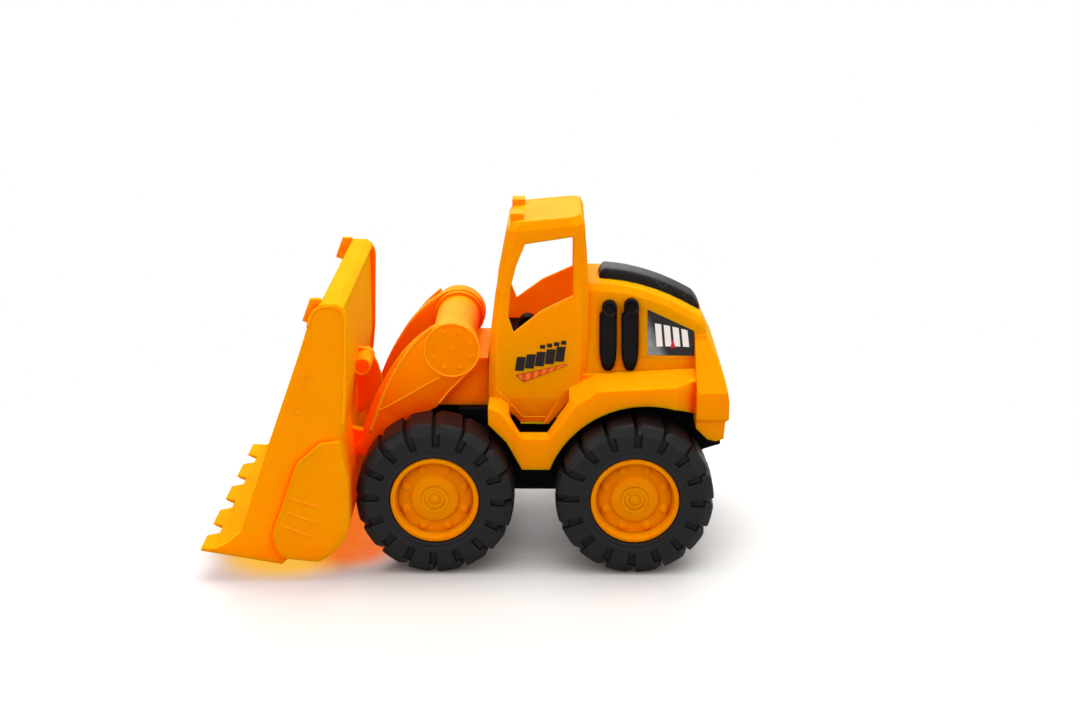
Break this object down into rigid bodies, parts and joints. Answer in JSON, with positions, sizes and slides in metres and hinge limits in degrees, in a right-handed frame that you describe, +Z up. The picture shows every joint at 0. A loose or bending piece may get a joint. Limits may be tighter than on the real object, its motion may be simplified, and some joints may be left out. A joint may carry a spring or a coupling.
{
  "type": "toy wheel loader",
  "caption": "Toy wheel loader with lift arms that swing up, a tilting toothed bucket, an open cab, hood with exhaust stacks and chunky tyres on turning axles.",
  "frame": {"origin": "on the ground, in the middle of the length and of the width", "axes": "+X forward to the bucket, +Y to the driver's left, +Z up"},
  "size_m": [0.2304, 0.1336, 0.1554],
  "materials": {
    "orange_body": "semi-gloss moulded plastic",
    "orange_arm": "semi-gloss moulded plastic",
    "orange_bucket": "semi-gloss moulded plastic, slightly see-through",
    "rim_plastic": "semi-gloss moulded plastic",
    "black_plastic": "satin moulded plastic",
    "black_trim": "glossy moulded plastic",
    "tyre": "hard black plastic with a dull sheen",
    "steel": "plain steel wire and screws"
  },
  "bodies": {
    "vehicle": {"chassis": "black_plastic", "chassis_screws": "steel", "body_shell": "orange_body", "hood_vent": "black_trim", "cab_insert": "black_plastic", "arm_bracket": "orange_body", "stack_front_left": "black_trim", "stack_front_right": "black_trim", "stack_rear_left": "black_trim", "stack_rear_right": "black_trim"},
    "front_wheels": {"front_tyre_left": "tyre", "front_rim_left": "rim_plastic", "front_hub_cap_left": "rim_plastic", "front_tyre_right": "tyre", "front_rim_right": "rim_plastic", "front_hub_cap_right": "rim_plastic", "front_axle": "steel"},
    "rear_wheels": {"rear_tyre_left": "tyre", "rear_rim_left": "rim_plastic", "rear_hub_cap_left": "rim_plastic", "rear_tyre_right": "tyre", "rear_rim_right": "rim_plastic", "rear_hub_cap_right": "rim_plastic", "rear_axle": "steel"},
    "lift_arms": {"lift_arm_left": "orange_arm", "lift_arm_right": "orange_arm", "arm_pivot_pin": "steel", "bucket_pin": "steel"},
    "bucket": {"bucket": "orange_bucket"}
  },
  "joints": [
    {"name": "front_axle_spin", "type": "hinge", "parent": "vehicle", "child": "front_wheels", "pos_m": [0.0136, 0, 0.035], "axis": [0, 1, 0], "continuous": true},
    {"name": "rear_axle_spin", "type": "hinge", "parent": "vehicle", "child": "rear_wheels", "pos_m": [-0.0742, 0, 0.035], "axis": [0, 1, 0], "continuous": true},
    {"name": "arm_lift", "type": "hinge", "parent": "vehicle", "child": "lift_arms", "pos_m": [0.0065, 0, 0.097], "axis": [0, -1, 0], "range_deg": [0, 60]},
    {"name": "bucket_tilt", "type": "hinge", "parent": "lift_arms", "child": "bucket", "pos_m": [0.0446, 0, 0.0515], "axis": [0, -1, 0], "range_deg": [-4, 22]}
  ]
}
